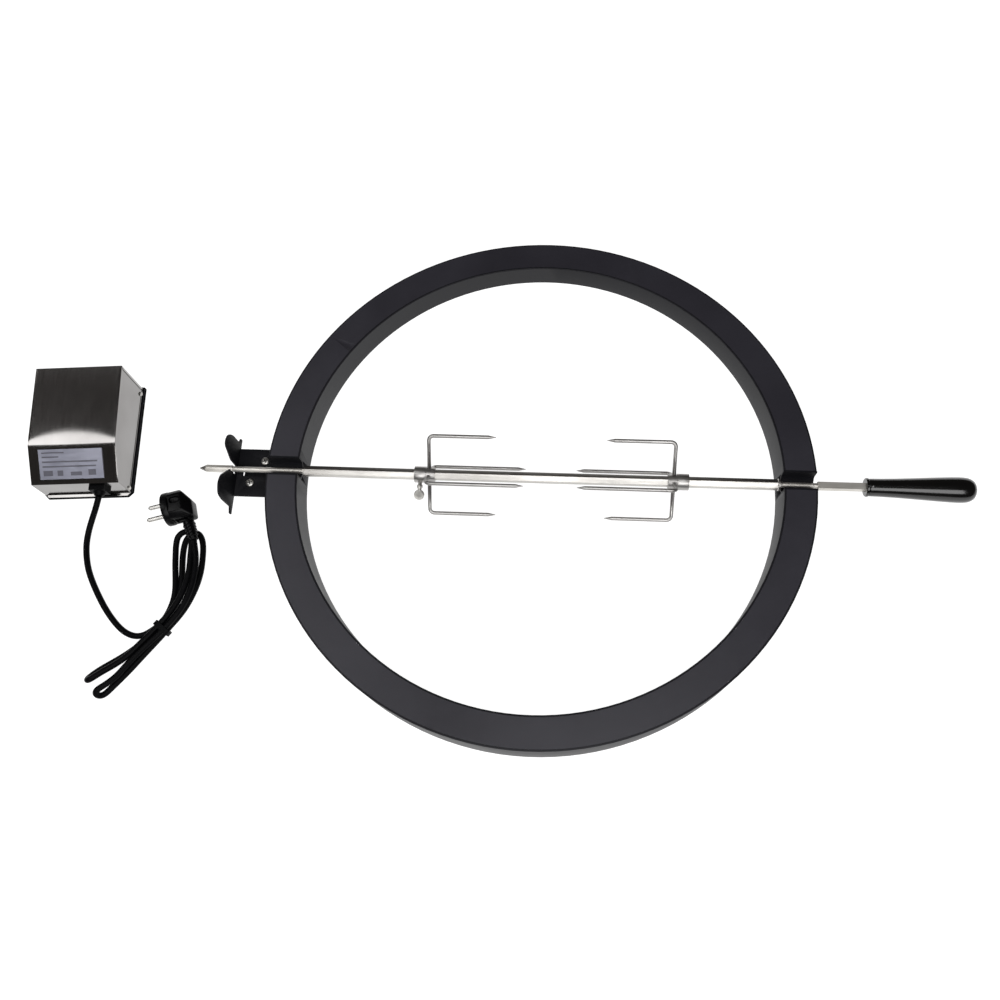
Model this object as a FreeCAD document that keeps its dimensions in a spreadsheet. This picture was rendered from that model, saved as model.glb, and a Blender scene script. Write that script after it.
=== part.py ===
import FreeCAD, Part
import math
import os
import re
from FreeCAD import Placement, Rotation, Vector

# Rotisserie kit for a round charcoal grill. Origin: centre of the ring on the plane it stands on.
# +X runs along the spit towards the handle, -Y is the tall front of the ring, +Z is up.

doc = FreeCAD.newDocument("RotisserieKit")
sheet = doc.addObject("Spreadsheet::Sheet", "Dimensions")

dimensions = {
    # ring, cut on a slope so that the lid leans back
    "ring_radius": 280.0,
    "ring_width": 33.0,
    "ring_sheet": 2.0,
    "ring_mid_height": 43.1,
    "ring_slope_angle": 3.394,
    "notch_radius": 8.6,
    "notch_floor": 24.7,
    "axis_offset": -3.0,
    # motor bracket on the left of the ring
    "lug_thickness": 3.0,
    "arm_top": 20.0,
    "bracket_sheet": 2.0,
    "flange_face": -320.5,
    "horn_top": 63.5,
    "bracket_screw_head": 4.2,
    # spit
    "spit_height": 28.0,
    "bar_flats": 10.0,
    "bar_start": -245.0,
    "bar_end": 243.3,
    "journal_radius": 3.0,
    "drive_flats": 7.0,
    "drive_start": -356.0,
    "drive_end": -320.4,
    "square_side": 7.0,
    "square_start": 283.0,
    "handle_start": 330.2,
    "handle_end": 438.5,
    "handle_thin_radius": 9.0,
    "handle_thick_radius": 13.0,
    # forks
    "fork_left_at": -112.3,
    "fork_right_at": 139.0,
    "fork_collar_radius": 8.5,
    "fork_hub_radius": 7.5,
    "fork_bore_flats": 10.6,
    "prong_radius": 2.0,
    "prong_bend": 5.0,
    "wide_reach": 41.8,
    "wide_length": 69.4,
    "long_reach": 29.5,
    "long_length": 99.0,
    "point_length": 8.0,
    "fork_roll": 38.0,
    # motor box, lying on its mounting face
    "motor_at_x": -488.2,
    "motor_at_y": 33.6,
    "motor_turn": 3.7,
    "cover_width": 93.2,
    "cover_front": 61.2,
    "cover_back": 62.1,
    "cover_sheet": 1.0,
    "cover_front_height": 35.0,
    "cover_ridge_height": 54.3,
    "cover_ridge_at": 23.4,
    "cover_back_height": 60.7,
    "plate_width": 97.8,
    "gasket_thickness": 1.5,
    "plate_thickness": 2.0,
    "socket_flats": 7.6,
    "socket_radius": 7.0,
    "gear_module": 1.0,
    "pin_radius": 1.5,
    "running_gap": 0.05,
    "can_radius": 24.0,
    # lead
    "lead_radius": 3.2,
    "hank_height": 13.6,
    "plug_height": 18.5,
}

for row, (alias, value) in enumerate(dimensions.items(), 1):
    sheet.set("A%d" % row, alias)
    sheet.set("B%d" % row, "%g" % value)
    sheet.setAlias("B%d" % row, alias)
doc.recompute()


def dim(alias):
    return float(sheet.get(alias))


def full(text):
    """A formula with each dimension's name written out as a cell of the sheet."""
    return re.sub(r"[a-z_]+", lambda m: "Dimensions." + m[0] if m[0] in dimensions else m[0], text)


def bind(thing, path, value):
    if isinstance(value, str):
        thing.setExpression(path, full(value))
    else:
        target, _, field = path.rpartition(".")
        if target:
            raise ValueError("a plain value cannot be put in " + path)
        setattr(thing, field, value)


def place(thing, at=(0, 0, 0), turn=Rotation()):
    """Numbers are set, formulas are bound."""
    plain = [0 if isinstance(c, str) else c for c in at]
    thing.Placement = Placement(Vector(*plain), turn)
    for axis, coordinate in zip("xyz", at):
        if isinstance(coordinate, str):
            thing.setExpression("Placement.Base." + axis, full(coordinate))
    return thing


def solid(kind, name, at=(0, 0, 0), turn=Rotation(), **sizes):
    thing = doc.addObject("Part::" + kind, name)
    for field, value in sizes.items():
        bind(thing, field, value)
    return place(thing, at, turn)


def boolean(kind, name, base, tool):
    thing = doc.addObject("Part::" + kind, name)
    thing.Base = base
    thing.Tool = tool
    return thing


def join(name, *items):
    thing = doc.addObject("Part::MultiFuse", name)
    thing.Shapes = list(items)
    return thing


def group(name, *items):
    thing = doc.addObject("Part::Compound", name)
    thing.Links = list(items)
    return thing


def tube(name, outer, inner, length, at=(0, 0, 0), turn=Rotation()):
    """A round tube that starts at a point; inner and outer are radii."""
    body = solid("Cylinder", name + "_outer", (0, 0, 0), Rotation(), Radius=outer, Height=length)
    hole = solid("Cylinder", name + "_inner", (0, 0, -1), Rotation(), Radius=inner, Height="(%s) + 2" % length)
    ring = boolean("Cut", name, body, hole)
    return place(ring, at, turn)


def origin_plane(body, role):
    return [f for f in body.Origin.OriginFeatures if f.Role == role][0]


def polygon(body, name, role, points, offset=0.0):
    """A closed sketch whose corners are tied to the sketch's origin by bound distances."""
    sketch = body.newObject("Sketcher::SketchObject", name)
    sketch.AttachmentSupport = [(origin_plane(body, role), "")]
    sketch.MapMode = "FlatFace"
    sketch.AttachmentOffset = Placement(Vector(0, 0, offset), Rotation())
    values = [[float(c) if not isinstance(c, str) else worth(c) for c in p] for p in points]
    count = len(points)
    for i in range(count):
        a, b = values[i], values[(i + 1) % count]
        sketch.addGeometry(Part.LineSegment(Vector(a[0], a[1], 0), Vector(b[0], b[1], 0)), False)
    from Sketcher import Constraint
    for i in range(count):
        sketch.addConstraint(Constraint("Coincident", i, 2, (i + 1) % count, 1))
    for i, point in enumerate(points):
        for kind, coordinate, value, axis in zip(("DistanceX", "DistanceY"), point, values[i], (-2, -1)):
            if abs(value) < 1e-9:
                sketch.addConstraint(Constraint("PointOnObject", i, 1, axis))
                continue
            number = sketch.addConstraint(Constraint(kind, -1, 1, i, 1, value))
            label = "%s%d" % ("across" if axis == -2 else "along", i)
            sketch.renameConstraint(number, label)
            if isinstance(coordinate, str):
                sketch.setExpression("Constraints." + label, full(coordinate))
    return sketch


def worth(text):
    """What a formula of the sheet's dimensions comes to."""
    known = {alias: dim(alias) for alias in dimensions}
    total = 0.0
    for sign, term in re.findall(r"([+-]?)\s*([^+-]+)", text):
        product = 1.0
        for op, factor in re.findall(r"([*/]?)\s*([A-Za-z_]+|[0-9.]+)", term):
            number = known[factor] if factor in known else float(factor)
            product = product / number if op == "/" else product * number
        total += -product if sign == "-" else product
    return total


def pad(body, name, sketch, length, midplane=False, kind="Pad"):
    feature = body.newObject("PartDesign::" + kind, name)
    feature.Profile = sketch
    bind(feature, "Length", length)
    feature.Midplane = midplane
    return feature


nodes = []


def node(label, thing):
    thing.Label = label
    nodes.append(thing)
    return thing


ALONG_X = Rotation(Vector(0, 1, 0), 90)
ALONG_Y = Rotation(Vector(1, 0, 0), -90)
BACK_Y = Rotation(Vector(1, 0, 0), 90)
# every hexagonal section has a corner straight up and a flat towards the front
HEX_ALONG_X = ALONG_X
CORNER = 1 / math.cos(math.pi / 6) / 2
slope = Rotation(Vector(1, 0, 0), -dim("ring_slope_angle"))

# ---------------------------------------------------------------- ring
RING_IN = "ring_radius - ring_width"


def below_slope(name, tall, drop):
    """A block under the sloping top, or a slice of it when tall is thin."""
    turned = slope.multVec(Vector(-400, -400, -tall - drop))
    block = solid("Box", name, Length=800.0, Width=800.0, Height=tall)
    block.Placement = Placement(turned, slope)
    block.setExpression("Placement.Base.z", full("ring_mid_height") + " + %.6f" % turned.z)
    return block


outer_wall = tube("outer_wall", "ring_radius", "ring_radius - ring_sheet", "100")
inner_wall = tube("inner_wall", RING_IN + " + ring_sheet", RING_IN, "100")
whole_ring = tube("whole_ring", "ring_radius", RING_IN, "100")
gap_ring = tube("gap_ring", "ring_radius - ring_sheet", RING_IN + " + ring_sheet", "100")


def notch_tool(name, radius):
    """A slot with a round floor that runs right across the ring along X, open at the top."""
    centre = "notch_floor + notch_radius"
    floor = solid("Cylinder", name + "_floor", (-400, "axis_offset", centre), ALONG_X, Radius=radius, Height=800.0)
    walls = solid("Box", name + "_walls", (-400, "axis_offset - (%s)" % radius, centre),
                  Length=800.0, Width="2 * (%s)" % radius, Height=80.0)
    return join(name, floor, walls)


liner_outside = notch_tool("liner_outside", "notch_radius + ring_sheet")
liner_inside = notch_tool("liner_inside", "notch_radius")

for label, wall in (("outer_band", outer_wall), ("inner_band", inner_wall)):
    lowered = boolean("Common", label + "_sloped", wall, below_slope(label + "_slope", 120.0, 0.0))
    node(label, boolean("Cut", label, lowered, liner_outside))

top_slice = boolean("Common", "top_slice", gap_ring, below_slope("top_slab", dim("ring_sheet"), 0.0))
for label, low in (("top_plate_rear", 0), ("top_plate_front", -400)):
    half = solid("Box", label + "_half", (-400, low, 0), Length=800.0, Width=400.0, Height=120.0)
    part_of_top = boolean("Common", label + "_whole", top_slice, half)
    node(label, boolean("Cut", label, part_of_top, liner_outside))

liner = boolean("Cut", "liner", liner_outside, liner_inside)
liner_in_ring = boolean("Common", "liner_in_ring", liner, whole_ring)
liner_sloped = boolean("Common", "liner_sloped", liner_in_ring, below_slope("liner_slope", 120.0, 0.0))
for label, low in (("notch_seat_left", -400), ("notch_seat_right", 0)):
    side = solid("Box", label + "_side", (low, -50, 0), Length=400.0, Width=100.0, Height=120.0)
    node(label, boolean("Common", label, liner_sloped, side))

# ---------------------------------------------------------------- motor bracket
LUG_TOP = "arm_top - bracket_sheet"
lug_block = solid("Box", "lug_block", (-311, -26, LUG_TOP + " - lug_thickness"),
                  Length=40.0, Width=44.0, Height="lug_thickness")
lug_round = solid("Cylinder", "lug_round", (0, 0, -10), Radius="ring_radius", Height=100.0)
lug_cut = boolean("Cut", "lug_cut", lug_block, lug_round)

screw_places = ((-289.8, 9.6), (-303.2, -15.0))
lug_holes = join("lug_holes", *[
    solid("Cylinder", "lug_hole_%d" % i, (x, y, 0), Radius=2.1, Height=60.0)
    for i, (x, y) in enumerate(screw_places)])
node("bracket_lug", boolean("Cut", "bracket_lug", lug_cut, lug_holes))

arms_body = doc.addObject("PartDesign::Body", "arms_body")
arms_sketch = polygon(arms_body, "arms_outline", "XY_Plane", [
    ("flange_face", -30.0), (-272.0, -30.0), (-272.0, "axis_offset - 4"), (-312.0, "axis_offset - 4"),
    (-312.0, "axis_offset + 4"), (-272.0, "axis_offset + 4"), (-272.0, 23.4), ("flange_face", 23.4)])
pad(arms_body, "arms_pad", arms_sketch, "bracket_sheet")
place(arms_body, (0, 0, LUG_TOP))

flange_body = doc.addObject("PartDesign::Body", "flange_body")
flange_sketch = polygon(flange_body, "flange_outline", "YZ_Plane", [
    (-50.0, 18.0), (34.0, 18.0), (34.0, 22.0), (28.5, 25.0), (27.5, 48.0), (24.0, 58.0), (18.0, "horn_top - 0.5"),
    (10.5, "horn_top"), (2.2, 41.0), (2.2, 25.0), (0.0, 22.6), (-6.0, 22.6), (-8.2, 25.0), (-8.2, 41.0),
    (-22.5, "horn_top - 1"), (-32.0, "horn_top + 3"), (-42.5, "horn_top - 1.5"), (-44.5, 50.0), (-43.5, 25.0),
    (-50.0, 22.0)])
pad(flange_body, "flange_pad", flange_sketch, "bracket_sheet")
place(flange_body, ("flange_face", 0, 0))

bracket_blank = join("bracket_blank", arms_body, flange_body)
bracket_trim = boolean("Cut", "bracket_trim", bracket_blank, lug_round)
node("motor_bracket", boolean("Cut", "motor_bracket", bracket_trim, lug_holes))

screws = []
nuts = []
for i, (x, y) in enumerate(screw_places):
    head = solid("Cone", "screw_head_%d" % i, (x, y, "arm_top"),
                 Radius1="bracket_screw_head", Radius2=2.6, Height=2.2)
    shank = solid("Cylinder", "screw_shank_%d" % i, (x, y, 11.0), Radius=2.1, Height="arm_top - 11")
    slot_a = solid("Box", "cross_a_%d" % i, (x - 2.0, y - 0.45, "arm_top + 1"), Length=4.0, Width=0.9, Height=3.0)
    slot_b = solid("Box", "cross_b_%d" % i, (x - 0.45, y - 2.0, "arm_top + 1"), Length=0.9, Width=4.0, Height=3.0)
    blank = join("screw_blank_%d" % i, head, shank)
    screws.append(boolean("Cut", "screw_%d" % i, blank, join("cross_%d" % i, slot_a, slot_b)))
    hexagon = solid("Prism", "nut_hexagon_%d" % i, (x, y, 11.6), Polygon=6, Circumradius=4.04, Height=3.4)
    bore = solid("Cylinder", "nut_bore_%d" % i, (x, y, 10.0), Radius=2.1, Height=8.0)
    nuts.append(boolean("Cut", "nut_%d" % i, hexagon, bore))
node("bracket_screws", group("bracket_screws", *screws))
node("bracket_nuts", group("bracket_nuts", *nuts))

# ---------------------------------------------------------------- spit
SPIT = "spit_height"
AXIS = "axis_offset"


def hexagon_bar(name, start, end, flats):
    return solid("Prism", name, (start, AXIS, SPIT), HEX_ALONG_X, Polygon=6,
                 Circumradius="(%s) * %.7f" % (flats, CORNER), Height="(%s) - (%s)" % (end, start))


def round_bar(name, start, end, radius):
    return solid("Cylinder", name, (start, AXIS, SPIT), ALONG_X, Radius=radius,
                 Height="(%s) - (%s)" % (end, start))


drive_hexagon = hexagon_bar("drive_hexagon", "drive_start", "drive_end", "drive_flats")
drive_point = solid("Cone", "drive_point", ("drive_start", AXIS, SPIT), ALONG_X, Radius1=0.6, Radius2=4.2, Height=8.0)
drive_round = round_bar("drive_round", "drive_start + 8", "drive_end", "4.2")
drive_end = boolean("Common", "drive_end_section", drive_hexagon, join("drive_envelope", drive_point, drive_round))
node("spit_rod", join(
    "spit_rod", drive_end,
    round_bar("left_journal", "drive_end", "bar_start", "journal_radius"),
    hexagon_bar("main_bar", "bar_start", "bar_end", "bar_flats"),
    round_bar("right_journal", "bar_end", "square_start", "journal_radius"),
    solid("Box", "square_end", ("square_start", "axis_offset - square_side / 2", "spit_height - square_side / 2"),
          Length="handle_start + 20 - square_start", Width="square_side", Height="square_side")))
node("thrust_collar", tube("thrust_collar", "6.3", "journal_radius", "3", ("bar_end", AXIS, SPIT), ALONG_X))

square_bore = solid("Box", "square_bore", ("handle_start - 1", "axis_offset - square_side / 2", "spit_height - square_side / 2"),
                    Length=21.0, Width="square_side", Height="square_side")
node("handle_ferrule", boolean("Cut", "handle_ferrule",
                               round_bar("ferrule_blank", "handle_start", "handle_start + 3", "9.6"), square_bore))

handle_body = doc.addObject("PartDesign::Body", "handle_body")
handle_sketch = polygon(handle_body, "handle_profile", "XZ_Plane", [
    ("handle_start + 3", 0), ("handle_end", 0), ("handle_end", "handle_thick_radius - 1"),
    ("handle_end - 13", "handle_thick_radius"), ("handle_start + 30", "handle_thin_radius + 0.6"),
    ("handle_start + 3", "handle_thin_radius")])
turned = handle_body.newObject("PartDesign::Revolution", "handle_turned")
turned.Profile = handle_sketch
turned.ReferenceAxis = (handle_sketch, ["H_Axis"])
turned.Angle = 360.0
doc.recompute()
end_edges = [
    "Edge%d" % (i + 1) for i, edge in enumerate(turned.Shape.Edges)
    if edge.BoundBox.XMin > dim("handle_end") - 0.01 and edge.BoundBox.YLength > 10]
rounding = handle_body.newObject("PartDesign::Fillet", "handle_rounding")
rounding.Base = (turned, end_edges)
rounding.Radius = 8.0
handle_body.Tip = rounding
place(handle_body, (0, AXIS, SPIT))
node("handle", boolean("Cut", "handle", handle_body, square_bore))


# ---------------------------------------------------------------- forks
def prong(name, reach, length, root):
    """One leg out from the hub along +Y, a bend, and a pointed run along +X, as one wire."""
    leg = solid("Cylinder", name + "_leg", (0, root, 0), ALONG_Y, Radius="prong_radius",
                Height="%s - prong_bend - (%s)" % (reach, root))
    bend = solid("Torus", name + "_bend", ("prong_bend", "%s - prong_bend" % reach, 0),
                 Rotation(Vector(0, 0, 1), 90), Radius1="prong_bend", Radius2="prong_radius", Angle3=90.0)
    run = solid("Cylinder", name + "_run", ("prong_bend", reach, 0), ALONG_X, Radius="prong_radius",
                Height="%s - prong_bend - point_length" % length)
    point = solid("Cone", name + "_point", ("%s - point_length" % length, reach, 0), ALONG_X,
                  Radius1="prong_radius", Radius2=0.25, Height="point_length")
    return join(name, leg, bend, run, point)


def fork(side, at, facing, screw_angle):
    """Angles are measured about the spit from straight up towards the front of the ring."""
    here = Placement(Vector(dim(at), dim("axis_offset"), dim("spit_height")), facing)

    def settle(label, thing, angle=0.0):
        thing.Placement = here.multiply(Placement(Vector(), Rotation(Vector(1, 0, 0), angle)))
        thing.setExpression("Placement.Base.x", full(at))
        thing.setExpression("Placement.Base.y", full("axis_offset"))
        thing.setExpression("Placement.Base.z", full("spit_height"))
        return node(label, thing)

    hexagon = solid("Prism", side + "_bore", (-20, 0, 0), HEX_ALONG_X,
                    Polygon=6, Circumradius="fork_bore_flats * %.7f" % CORNER, Height=40.0)
    collar = solid("Cylinder", side + "_collar_blank", (-15, 0, 0), ALONG_X,
                   Radius="fork_collar_radius", Height=12.0)
    hub = solid("Cylinder", side + "_hub_blank", (-3, 0, 0), ALONG_X, Radius="fork_hub_radius", Height=9.0)
    screw_hole = solid("Cylinder", side + "_screw_hole", (-9, 0, 0), Rotation(Vector(1, 0, 0), screw_angle),
                       Radius=2.05, Height=20.0)
    bored = boolean("Cut", side + "_collar_bored", join(side + "_collar_whole", collar, hub), hexagon)
    tapped = boolean("Cut", side + "_collar", bored, screw_hole)
    settle("fork_%s_collar" % side, tapped)

    root = "fork_hub_radius - 0.6"
    roll = dim("fork_roll") if side == "left" else -dim("fork_roll")
    socket = solid("Cylinder", side + "_hub_round", (-30, 0, 0), ALONG_X, Radius="fork_hub_radius", Height=60.0)
    for pair, reach, length, angle in (("wide", "wide_reach", "wide_length", roll),
                                       ("long", "long_reach", "long_length", 90.0 + roll)):
        halves = []
        for half, turn in (("a", 0.0), ("b", 180.0)):
            name = "%s_%s_%s" % (side, pair, half)
            wire = prong(name + "_wire", reach, length, root)
            clipped = boolean("Cut", name, wire, socket)
            clipped.Placement = Placement(Vector(), Rotation(Vector(1, 0, 0), turn))
            halves.append(clipped)
        settle("fork_%s_%s_prongs" % (side, pair), group("%s_%s_prongs" % (side, pair), *halves), angle)

    shank = solid("Cylinder", side + "_shank", (-9, 0, 5.9), Radius=2.0, Height=12.0)
    washer = solid("Cylinder", side + "_shoulder", (-9, 0, 12.0), Radius=3.0, Height=2.5)
    paddle = solid("Cylinder", side + "_paddle", (-9, -1.1, 22.5), ALONG_Y, Radius=5.4, Height=2.2)
    neck = solid("Cone", side + "_neck", (-9, 0, 14.5), Radius1=2.4, Radius2=1.6, Height=4.0)
    settle("fork_%s_thumbscrew" % side, join(side + "_thumbscrew", shank, washer, paddle, neck), screw_angle)


fork("left", "fork_left_at", Rotation(), 90.0)
fork("right", "fork_right_at", Rotation(Vector(0, 0, 1), 180), -210.0)

# ---------------------------------------------------------------- motor box
MOTOR_TURN = Rotation(Vector(0, 0, 1), dim("motor_turn"))


def in_motor(label, thing, at=(0, 0, 0), spin=0.0):
    """Puts a piece given in the motor's own axes where the motor lies."""
    shift = MOTOR_TURN.multVec(Vector(*at))
    thing.Placement = Placement(shift, MOTOR_TURN.multiply(Rotation(Vector(0, 0, 1), spin)))
    thing.setExpression("Placement.Base.x", full("motor_at_x") + " + %.6f" % shift.x)
    thing.setExpression("Placement.Base.y", full("motor_at_y") + " + %.6f" % shift.y)
    return node(label, thing)


PLATE_TOP = "gasket_thickness + plate_thickness"
floor_at = dim("gasket_thickness") + dim("plate_thickness")


def outline_plate(name, margin, thick, low, hole):
    body = doc.addObject("PartDesign::Body", name + "_body")
    half = "plate_width / 2 - %g" % margin
    front, back, cut = -65.2 + margin, 65.6 - margin, 5.0
    sketch = polygon(body, name + "_outline", "XY_Plane", [
        (half + " - 5", front), (half, front + cut), (half, back - 2), (half + " - 2", back),
        ("2 + %g - plate_width / 2" % margin, back), ("%g - plate_width / 2" % margin, back - 2),
        ("%g - plate_width / 2" % margin, front + cut), ("5 + %g - plate_width / 2" % margin, front)])
    pad(body, name + "_pad", sketch, thick)
    bore = solid("Cylinder", name + "_bore", (0, 0, -1), Radius=hole, Height=10.0)
    return boolean("Cut", name, body, bore)


in_motor("base_gasket", outline_plate("gasket", 0.0, "gasket_thickness", 0, 12.0))
in_motor("motor_base_plate", outline_plate("base_plate", 0.8, "plate_thickness", 0, 10.0),
         (0, 0, dim("gasket_thickness")))

cover_body = doc.addObject("PartDesign::Body", "cover_body")
outside = polygon(cover_body, "cover_side", "YZ_Plane", [
    ("-cover_front", PLATE_TOP), ("cover_back", PLATE_TOP), ("cover_back", "cover_back_height"),
    ("-cover_ridge_at", "cover_ridge_height"), ("-cover_front", "cover_front_height")])
pad(cover_body, "cover_pad", outside, "cover_width", True)
inside = polygon(cover_body, "cover_hollow", "YZ_Plane", [
    ("cover_sheet - cover_front", PLATE_TOP), ("cover_back - cover_sheet", PLATE_TOP),
    ("cover_back - cover_sheet", "cover_back_height - cover_sheet"),
    ("-cover_ridge_at", "cover_ridge_height - cover_sheet"),
    ("cover_sheet - cover_front", "cover_front_height - cover_sheet")])
pad(cover_body, "cover_pocket", inside, "cover_width - 2 * cover_sheet", True, "Pocket")
grommet_hole = solid("Box", "grommet_hole", (14, "-cover_front - 2", 14.5), Length=13.5, Width=5.0, Height=13.5)
in_motor("motor_cover", boolean("Cut", "motor_cover", cover_body, grommet_hole))

face_run = dim("cover_front") - dim("cover_ridge_at")
face_rise = dim("cover_ridge_height") - dim("cover_front_height")
face_angle = math.degrees(math.atan2(face_rise, face_run))
plate_inset = (math.hypot(face_run, face_rise) - 31.6) / 2
rating = solid("Box", "rating_blank", (
    -35.9, -dim("cover_front") + plate_inset * math.cos(math.radians(face_angle)),
    dim("cover_front_height") + plate_inset * math.sin(math.radians(face_angle))),
    Rotation(Vector(1, 0, 0), face_angle), Length=68.0, Width=31.6, Height=0.5)
in_motor("rating_plate", group("rating_plate", rating))

cover_screws = []
for i, (across, along) in enumerate(((1, -57.5), (1, 54), (-1, -57.5), (-1, 54))):
    turn = Rotation(Vector(0, 1, 0), 90 * across)
    cover_screws.append(solid("Cone", "cover_screw_%d" % i, (across * dim("cover_width") / 2, along, 8.5), turn,
                              Radius1=2.6, Radius2=1.8, Height=1.3))
in_motor("cover_screws", group("cover_screws", *cover_screws))

grommet_flange = solid("Box", "grommet_flange", (12.5, "-cover_front - 5", 13), Length=16.5, Width=5.0, Height=16.5)
grommet_plug = solid("Box", "grommet_plug", (14, "-cover_front", 14.5), Length=13.5, Width="cover_sheet", Height=13.5)
grommet_back = solid("Box", "grommet_back", (13, "cover_sheet - cover_front", 13.5), Length=15.5, Width=3.0, Height=15.5)
grommet_nose = solid("Cone", "grommet_nose", (20.5, "-cover_front - 5", 20.5), BACK_Y, Radius1=6.5, Radius2=4.4, Height=4.0)
in_motor("cord_grommet", join("cord_grommet", grommet_flange, grommet_plug, grommet_back, grommet_nose))

# gear train: output wheel, two idlers on pins, rotor pinion
stage_two = Vector(0, 26, 0)
stage_one = Vector(-22.6, 17.9, 0)
rotor_at = Vector(0, 9.8, 0)


def wheel(name, teeth, low, thick, first_tooth):
    """A spur wheel with straight-sided teeth, the first at the given angle."""
    module = dim("gear_module")
    pitch = teeth * module / 2
    root = pitch - 1.2 * module
    tip = pitch + 0.7 * module
    body = doc.addObject("PartDesign::Body", name + "_wheel")
    disc_sketch = body.newObject("Sketcher::SketchObject", name + "_root")
    disc_sketch.AttachmentSupport = [(origin_plane(body, "XY_Plane"), "")]
    disc_sketch.MapMode = "FlatFace"
    disc_sketch.addGeometry(Part.Circle(Vector(0, 0, 0), Vector(0, 0, 1), root), False)
    from Sketcher import Constraint
    disc_sketch.addConstraint(Constraint("Coincident", 0, 3, -1, 1))
    size = disc_sketch.addConstraint(Constraint("Radius", 0, root))
    disc_sketch.renameConstraint(size, "root")
    disc_sketch.setExpression("Constraints.root", full("gear_module * %g" % (teeth / 2 - 1.2)))
    pad(body, name + "_disc", disc_sketch, float(thick))
    tooth = polygon(body, name + "_tooth", "XY_Plane", [
        (root - 0.6, -0.95 * module), (root + 0.2, -0.95 * module), (tip, -0.4 * module),
        (tip, 0.4 * module), (root + 0.2, 0.95 * module), (root - 0.6, 0.95 * module)])
    tooth_pad = pad(body, name + "_tooth_pad", tooth, float(thick))
    pattern = body.newObject("PartDesign::PolarPattern", name + "_teeth")
    pattern.Originals = [tooth_pad]
    pattern.Axis = (tooth, ["N_Axis"])
    pattern.Angle = 360.0
    pattern.Occurrences = teeth
    body.Tip = pattern
    body.Placement = Placement(Vector(0, 0, low), Rotation(Vector(0, 0, 1), first_tooth))
    return body


def bearing(a, b):
    return math.degrees(math.atan2(b.y - a.y, b.x - a.x))


PIN_BORE = "pin_radius + running_gap"
output_gear = boolean("Cut", "output_gear", wheel("output", 40, 7.0, 4, bearing(Vector(), stage_two)),
                      solid("Cylinder", "output_bore", Radius="socket_radius", Height=20.0))
in_motor("output_gear", output_gear)

for label, at, big, small, big_low, small_low, to_slow, to_fast in (
        ("idler_two", stage_two, 36, 12, 12.5, 7.0, Vector(), stage_one),
        ("idler_one", stage_one, 36, 12, 17.0, 12.5, stage_two, rotor_at)):
    large = wheel(label + "_large", big, big_low, 3 if big_low < 15 else 2.5, bearing(at, to_fast))
    little = wheel(label + "_small", small, small_low, 4 if small_low < 10 else 3, bearing(at, to_slow) + 180 / small)
    hub_low = small_low + (4 if small_low < 10 else 3)
    spacer = solid("Cylinder", label + "_hub", (0, 0, hub_low), Radius=4.0, Height=big_low - hub_low)
    bore = solid("Cylinder", label + "_bore", Radius=PIN_BORE, Height=30.0)
    in_motor(label, boolean("Cut", label, join(label + "_blank", large, little, spacer), bore), tuple(at))

rotor_shaft = solid("Cylinder", "rotor_shaft", (0, 0, 19.5), Radius="pin_radius", Height=6.0)
rotor = join("rotor", wheel("rotor_pinion", 12, 17.0, 2.5, bearing(rotor_at, stage_one) + 15), rotor_shaft)
in_motor("rotor_pinion", rotor, tuple(rotor_at))

for label, at, low in (("idler_two_pin", stage_two, 6.5), ("idler_one_pin", stage_one, 12.0)):
    seat = solid("Cylinder", label + "_seat", (0, 0, PLATE_TOP), Radius=3.0, Height=low - floor_at)
    stem = solid("Cylinder", label + "_stem", (0, 0, PLATE_TOP), Radius="pin_radius", Height=21.0 - floor_at)
    in_motor(label, join(label, seat, stem), tuple(at))

gear_plate_blank = solid("Box", "gear_plate_blank", (-42, -22, 21.0), Length=76.0, Width=70.0, Height=1.5)
rotor_hole = solid("Cylinder", "rotor_hole", (rotor_at.x, rotor_at.y, 15.0), Radius=4.0, Height=20.0)
in_motor("gear_plate", boolean("Cut", "gear_plate", gear_plate_blank, rotor_hole))
posts = [solid("Cylinder", "post_%d" % i, (x, y, PLATE_TOP), Radius=2.5, Height="21 - (%s)" % PLATE_TOP)
         for i, (x, y) in enumerate(((-38, -18), (30, -18), (-38, 44), (30, 44)))]
in_motor("gear_posts", group("gear_posts", *posts))

can_blank = solid("Cylinder", "can_blank", (0, 0, 22.5), Radius="can_radius", Height=17.5)
can_bore = solid("Cylinder", "can_bore", (0, 0, 22.0), Radius=PIN_BORE, Height=4.0)
in_motor("synchronous_motor", boolean("Cut", "synchronous_motor", can_blank, can_bore), tuple(rotor_at))

socket_blank = solid("Cylinder", "socket_blank", (0, 0, 0.6), Radius="socket_radius", Height=11.0)
socket_bore = solid("Prism", "socket_bore", (0, 0, 0), Polygon=6, Circumradius="socket_flats * %.7f" % CORNER, Height=20.0)
in_motor("drive_socket", boolean("Cut", "drive_socket", socket_blank, socket_bore))
in_motor("output_bush", tube("output_bush", "10", "socket_radius + running_gap", "5"),
         (0, 0, dim("gasket_thickness")))
in_motor("terminal_block", group("terminal_block", solid(
    "Box", "terminal_blank", (10, -52, PLATE_TOP), Length=24.0, Width=12.0, Height=10.0)))

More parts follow.
